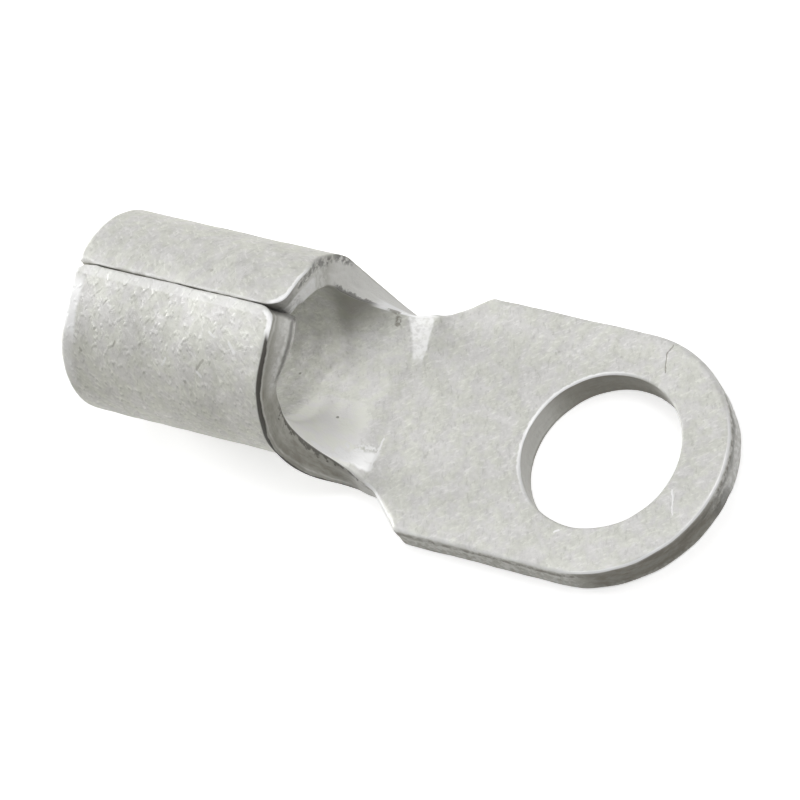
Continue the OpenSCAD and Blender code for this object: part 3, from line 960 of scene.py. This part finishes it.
class TERMINAL_OT_sheet(bpy.types.Operator):
    """Builds the stamped and rolled sheet of the terminal, with its plating"""

    bl_idname = "terminal.sheet"
    bl_label = "Terminal sheet"

    def execute(self, context):
        blank = Blank(context.scene.terminal_sizes)
        points, marks, quads = terminal_surface(blank)
        shaped = blank.rolled(uneven(points, blank.half_t))
        shaped = shaped + drawn_lips(points, blank) + off_centre(points)
        piece = new_mesh("terminal_sheet", shaped, quads)
        attach(piece.data, "sheet", points / MM)
        attach(piece.data, "edge", marks)
        piece.data.materials.append(tin_material(context.scene.tin_finish, blank))
        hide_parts("ring_terminal")
        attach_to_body(piece, "root")
        return {"FINISHED"}


def seen_directly(nodes):
    """1 for what the camera sees, by itself or in gloss or through glass, 0 for scattered light."""
    path = nodes.add("ShaderNodeLightPath").socket.node.outputs
    kinds = [Field(nodes, path[f"Is {kind} Ray"]) for kind in ("Camera", "Glossy", "Transmission")]
    return sum(kinds[1:], kinds[0]).ramp(0.0, 1.0)


def floor_material(shade):
    """Plain pale floor. What the camera and gloss see of it is lifted to white, and the
    terminal's shadow stays."""
    material = bpy.data.materials.new("floor")
    material.use_nodes = True
    nodes = Nodes(material.node_tree)
    shader = nodes.add("ShaderNodeBsdfPrincipled", None, {
        "Base Color": (*shade, 1.0), "Roughness": 0.9, "Specular IOR Level": 0.1,
        "Emission Color": (1.0, 1.0, 1.0, 1.0), "Emission Strength": seen_directly(nodes) * FLOOR_LIFT,
    })
    nodes.add("ShaderNodeOutputMaterial", None, {"Surface": shader})
    return material


def area_light(name, direction, distance, size, strength):
    """A square lamp that looks at the terminal's middle. strength is the light that its face
    gives, where 1 is as bright as white, so the power follows from its area."""
    lamp = bpy.data.lights.new(name, "AREA")
    lamp.shape, lamp.size = "SQUARE", size
    lamp.energy = strength * size * size * math.pi
    holder = bpy.data.objects.new(name, lamp)
    way = Vector(direction).normalized()
    holder.location = Vector((-0.010, 0.0, 0.0)) + way * distance
    holder.rotation_euler = way.to_track_quat("Z", "Y").to_euler()
    bpy.context.scene.collection.objects.link(holder)


class TERMINAL_OT_stage(bpy.types.Operator):
    """Puts the terminal on a pale floor in soft light and sets the camera"""

    bl_idname = "terminal.stage"
    bl_label = "Studio stage"

    # each lamp's name, direction, distance, size and strength
    LAMPS = (
        ("main_light", (0.44, 0.21, 0.87), 0.40, 0.18, 4.4),
        ("top_light", (-0.25, 0.06, 0.966), 0.45, 0.40, 1.38),
        ("low_light", (-0.975, 0.06, 0.208), 0.40, 0.16, 21.0),
    )

    def execute(self, context):
        studio = context.scene.studio
        reach, under = 1.5, -0.02 * MM
        corners = np.array([[-1, -1], [1, -1], [1, 1], [-1, 1]]) * reach
        points = np.hstack([corners, np.full((4, 1), under)])
        floor = new_mesh("floor", points, np.array([[0, 1, 2, 3]]))
        floor.data.materials.append(floor_material(studio.floor))

        for lamp in self.LAMPS:
            area_light(*lamp)

        world = bpy.data.worlds.new("studio")
        world.use_nodes = True
        nodes = Nodes(world.node_tree)
        strength = studio.sky + (1 - studio.sky) * seen_directly(nodes)
        light = nodes.add("ShaderNodeBackground", None, {"Color": (1, 1, 1, 1), "Strength": strength})
        nodes.add("ShaderNodeOutputWorld", None, {"Surface": light})
        context.scene.world = world

        self.set_camera(context.scene, studio)
        context.scene.view_settings.view_transform = "Standard"
        return {"FINISHED"}

    def set_camera(self, scene, studio):
        """The camera stands at its distance from the aim point, in the direction of azimuth and
        elevation, and is rolled about its line of sight."""
        level = math.cos(studio.elevation)
        back = Vector((level * math.cos(studio.azimuth), level * math.sin(studio.azimuth),
                       math.sin(studio.elevation)))
        right = Vector((0, 0, 1)).cross(back).normalized()
        up = back.cross(right)
        turned_right = math.cos(studio.roll) * right - math.sin(studio.roll) * up
        turned_up = math.cos(studio.roll) * up + math.sin(studio.roll) * right
        camera = bpy.data.objects.new("camera", bpy.data.cameras.new("camera"))
        camera.matrix_world = Matrix.Translation(
            Vector((studio.aim_x, studio.aim_y, 0)) + back * studio.distance
        ) @ Matrix((turned_right, turned_up, back)).transposed().to_4x4()
        camera.data.lens = studio.lens
        camera.data.clip_start, camera.data.clip_end = 0.01, 10.0
        scene.collection.objects.link(camera)
        scene.camera = camera


class TERMINAL_PT_panel(bpy.types.Panel):
    """Lists the terminal's operators and what they can be given"""

    bl_label = "Ring terminal"
    bl_idname = "TERMINAL_PT_panel"
    bl_space_type = "VIEW_3D"
    bl_region_type = "UI"
    bl_category = "Terminal"

    def draw(self, context):
        for operator, group in (
            (TERMINAL_OT_sheet, context.scene.terminal_sizes),
            (None, context.scene.tin_finish),
            (TERMINAL_OT_stage, context.scene.studio),
        ):
            box = self.layout.box()
            if operator:
                box.operator(operator.bl_idname)
            for name in group.__annotations__:
                box.prop(group, name)


CLASSES = (
    TerminalSizes, TinFinish, StudioSetting, TERMINAL_OT_sheet, TERMINAL_OT_stage, TERMINAL_PT_panel
)


def register():
    for made in CLASSES:
        bpy.utils.register_class(made)
    bpy.types.Scene.terminal_sizes = bpy.props.PointerProperty(type=TerminalSizes)
    bpy.types.Scene.tin_finish = bpy.props.PointerProperty(type=TinFinish)
    bpy.types.Scene.studio = bpy.props.PointerProperty(type=StudioSetting)


def unregister():
    del bpy.types.Scene.studio
    del bpy.types.Scene.tin_finish
    del bpy.types.Scene.terminal_sizes
    for made in reversed(CLASSES):
        bpy.utils.unregister_class(made)


def main():
    register()
    bpy.ops.terminal.sheet()
    bpy.ops.terminal.stage()


if __name__ == "__main__":
    main()
